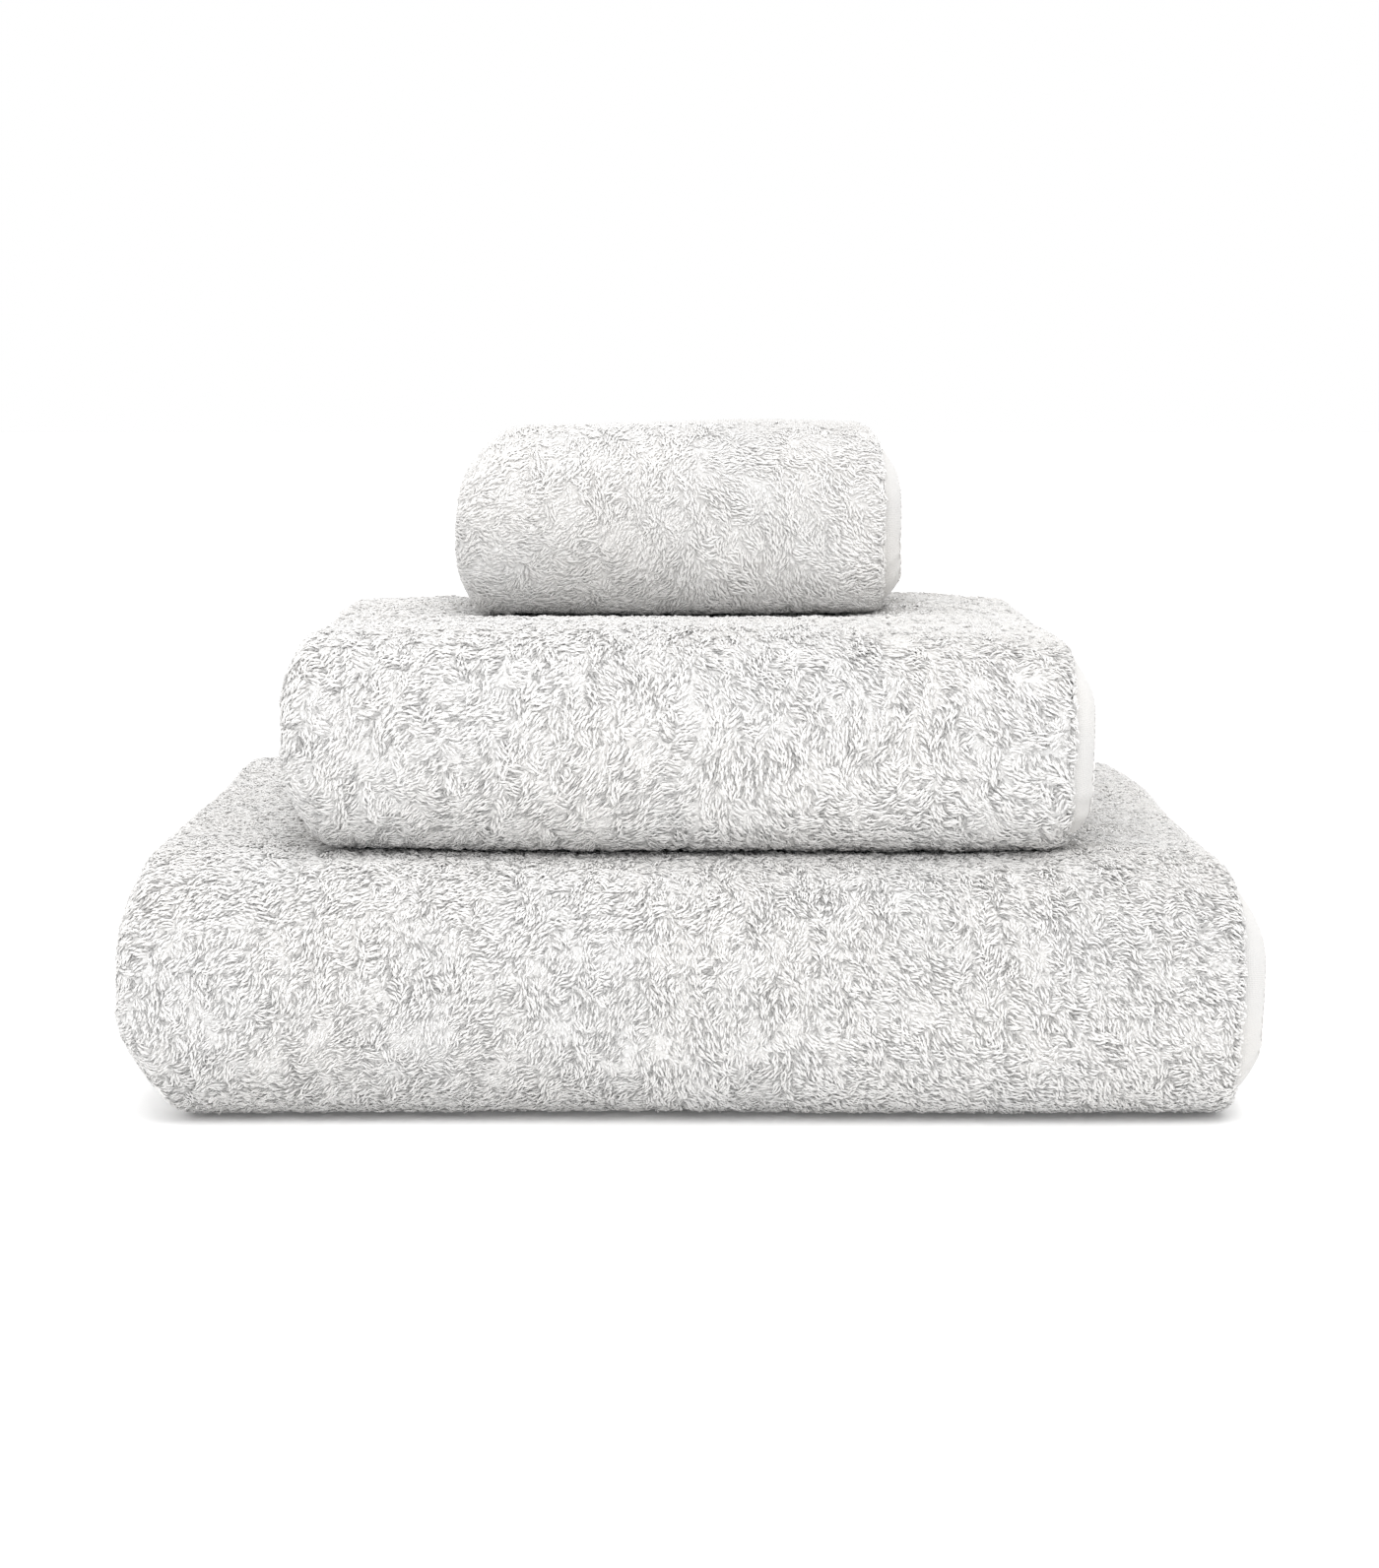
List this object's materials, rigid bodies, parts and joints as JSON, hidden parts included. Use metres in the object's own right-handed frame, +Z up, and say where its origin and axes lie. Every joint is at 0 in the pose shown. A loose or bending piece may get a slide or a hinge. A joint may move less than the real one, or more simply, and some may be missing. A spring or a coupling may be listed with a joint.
{
  "type": "bath towel set",
  "caption": "Stack of folded thick terry towels, a bath, a hand and a guest towel from the bottom up, with rounded front folds and flat woven side hems.",
  "frame": {"origin": "centre of the bath towel's footprint, on the surface that the stack rests on", "axes": "+Z up through the stack, -Y towards the rounded front folds, +X towards the free side hems and -X towards the closed side folds"},
  "size_m": [0.3518, 0.3604, 0.2119],
  "materials": {
    "terry": "matte",
    "hem": "matte",
    "thread": "satin"
  },
  "bodies": {
    "bath_towel": {"bath_towel_terry_panel": "terry", "bath_towel_outer_side_hem": "hem", "bath_towel_inner_side_hem": "hem", "bath_towel_lower_end_hem": "hem", "bath_towel_upper_end_hem": "hem", "bath_towel_outer_side_stitching": "thread", "bath_towel_inner_side_stitching": "thread", "bath_towel_lower_end_stitching": "thread", "bath_towel_upper_end_stitching": "thread"},
    "hand_towel": {"hand_towel_terry_panel": "terry", "hand_towel_outer_side_hem": "hem", "hand_towel_inner_side_hem": "hem", "hand_towel_lower_end_hem": "hem", "hand_towel_upper_end_hem": "hem", "hand_towel_outer_side_stitching": "thread", "hand_towel_inner_side_stitching": "thread", "hand_towel_lower_end_stitching": "thread", "hand_towel_upper_end_stitching": "thread"},
    "guest_towel": {"guest_towel_terry_panel": "terry", "guest_towel_outer_side_hem": "hem", "guest_towel_inner_side_hem": "hem", "guest_towel_lower_end_hem": "hem", "guest_towel_upper_end_hem": "hem", "guest_towel_outer_side_stitching": "thread", "guest_towel_inner_side_stitching": "thread", "guest_towel_lower_end_stitching": "thread", "guest_towel_upper_end_stitching": "thread"}
  },
  "joints": [
    {"name": "hand_towel_lift", "type": "slide", "parent": "bath_towel", "child": "hand_towel", "axis": [0, 0, 1], "range_m": [0, 0.15]},
    {"name": "guest_towel_lift", "type": "slide", "parent": "hand_towel", "child": "guest_towel", "axis": [0, 0, 1], "range_m": [0, 0.15]}
  ]
}
